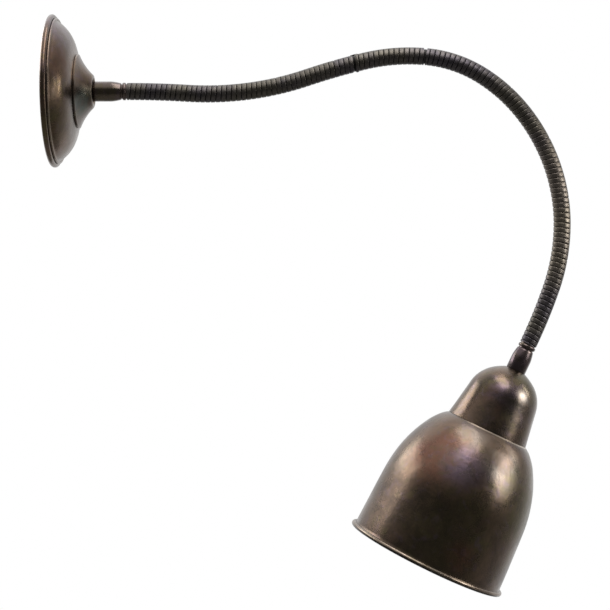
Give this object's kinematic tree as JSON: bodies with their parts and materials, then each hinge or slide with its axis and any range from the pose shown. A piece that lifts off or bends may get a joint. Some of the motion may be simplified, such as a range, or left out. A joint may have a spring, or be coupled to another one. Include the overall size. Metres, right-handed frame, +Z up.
{
  "type": "gooseneck wall sconce",
  "caption": "Wall light with a round domed wall rose, a flexible ribbed metal gooseneck arm and a bell shade over a screw lampholder, in antiqued dark bronze.",
  "frame": {"origin": "centre of the rose on the wall plane, which is the middle of the bracket's two wall screw slots", "axes": "+X away from the wall along the boss, +Z up, +Y to complete the right hand"},
  "size_m": [0.4104, 0.13, 0.4571],
  "materials": {
    "zinc_steel": "zinc plated, satin",
    "bright_brass": "plain turned brass",
    "lead_sheath": "flexible insulation, brown, blue and green",
    "terminal_plastic": "natural moulded plastic",
    "rose_brass": "antiqued dark bronze, waxed, soft gloss",
    "ferrule_brass": "antiqued dark bronze, waxed, soft gloss",
    "arm_steel": "blackened bronze wound strip, glints on the turns",
    "cable_sheath": "flexible sheath",
    "cap_brass": "antiqued dark bronze, waxed, soft gloss",
    "holder_plastic": "heat resistant moulding",
    "ceramic": "glazed ceramic",
    "shade_brass": "antiqued dark bronze outside, waxed, rim worn bright"
  },
  "bodies": {
    "wall_side": {"wall_bracket": "zinc_steel", "bracket_nut": "bright_brass", "wall_tube": "bright_brass", "earth_screw": "bright_brass", "earth_tag": "zinc_steel", "earth_lead": "lead_sheath", "terminal_block": "terminal_plastic", "terminal_barrels": "bright_brass", "terminal_screws": "zinc_steel", "block_leads": "lead_sheath", "rose": "rose_brass", "rose_boss": "rose_brass", "wall_ferrule": "ferrule_brass", "hose_1": "arm_steel", "cable_1": "cable_sheath"},
    "link_2": {"hose_2": "arm_steel", "cable_2": "cable_sheath"},
    "link_3": {"hose_3": "arm_steel", "cable_3": "cable_sheath"},
    "link_4": {"hose_4": "arm_steel", "cable_4": "cable_sheath"},
    "link_5": {"hose_5": "arm_steel", "cable_5": "cable_sheath"},
    "link_6": {"hose_6": "arm_steel", "cable_6": "cable_sheath"},
    "link_7": {"hose_7": "arm_steel", "cable_7": "cable_sheath"},
    "link_8": {"hose_8": "arm_steel", "cable_8": "cable_sheath"},
    "link_9": {"hose_9": "arm_steel", "cable_9": "cable_sheath"},
    "link_10": {"hose_10": "arm_steel", "cable_10": "cable_sheath"},
    "head": {"hose_11": "arm_steel", "cable_11": "cable_sheath", "head_ferrule": "ferrule_brass", "head_tube": "bright_brass", "cap": "cap_brass", "cap_nut": "bright_brass", "holder_cap": "holder_plastic", "holder_body": "holder_plastic", "contact_ceramic": "ceramic", "screw_shell": "bright_brass", "centre_contact": "bright_brass", "contact_screws": "bright_brass", "holder_leads": "lead_sheath", "shade_ring": "holder_plastic", "shade": "shade_brass"}
  },
  "joints": [
    {"name": "bow_2", "type": "hinge", "parent": "wall_side", "child": "link_2", "pos_m": [0.1078, 0, -0.00146], "axis": [0, 1, 0], "range_deg": [-24, 10]},
    {"name": "sway_3", "type": "hinge", "parent": "link_2", "child": "link_3", "pos_m": [0.15546, 0, 0.00016], "axis": [-0.1288, 0, 0.9917], "range_deg": [-24, 24]},
    {"name": "bow_4", "type": "hinge", "parent": "link_3", "child": "link_4", "pos_m": [0.20192, 0, 0.01089], "axis": [0, 1, 0], "range_deg": [-24, 10]},
    {"name": "sway_5", "type": "hinge", "parent": "link_4", "child": "link_5", "pos_m": [0.24783, 0, 0.02401], "axis": [-0.23, 0, 0.9732], "range_deg": [-24, 24]},
    {"name": "bow_6", "type": "hinge", "parent": "link_5", "child": "link_6", "pos_m": [0.29526, 0, 0.02758], "axis": [0, 1, 0], "range_deg": [-24, 10]},
    {"name": "sway_7", "type": "hinge", "parent": "link_6", "child": "link_7", "pos_m": [0.34014, 0, 0.01264], "axis": [0.5314, 0, 0.8471], "range_deg": [-24, 24]},
    {"name": "bow_8", "type": "hinge", "parent": "link_7", "child": "link_8", "pos_m": [0.37507, 0, -0.01953], "axis": [0, 1, 0], "range_deg": [-24, 10]},
    {"name": "sway_9", "type": "hinge", "parent": "link_8", "child": "link_9", "pos_m": [0.39692, 0, -0.06176], "axis": [0.9516, 0, 0.3074], "range_deg": [-24, 24]},
    {"name": "bow_10", "type": "hinge", "parent": "link_9", "child": "link_10", "pos_m": [0.40361, 0, -0.10881], "axis": [0, 1, 0], "range_deg": [-24, 10]},
    {"name": "sway_11", "type": "hinge", "parent": "link_10", "child": "head", "pos_m": [0.39498, 0, -0.1556], "axis": [0.9444, 0, -0.3289], "range_deg": [-24, 24]}
  ]
}
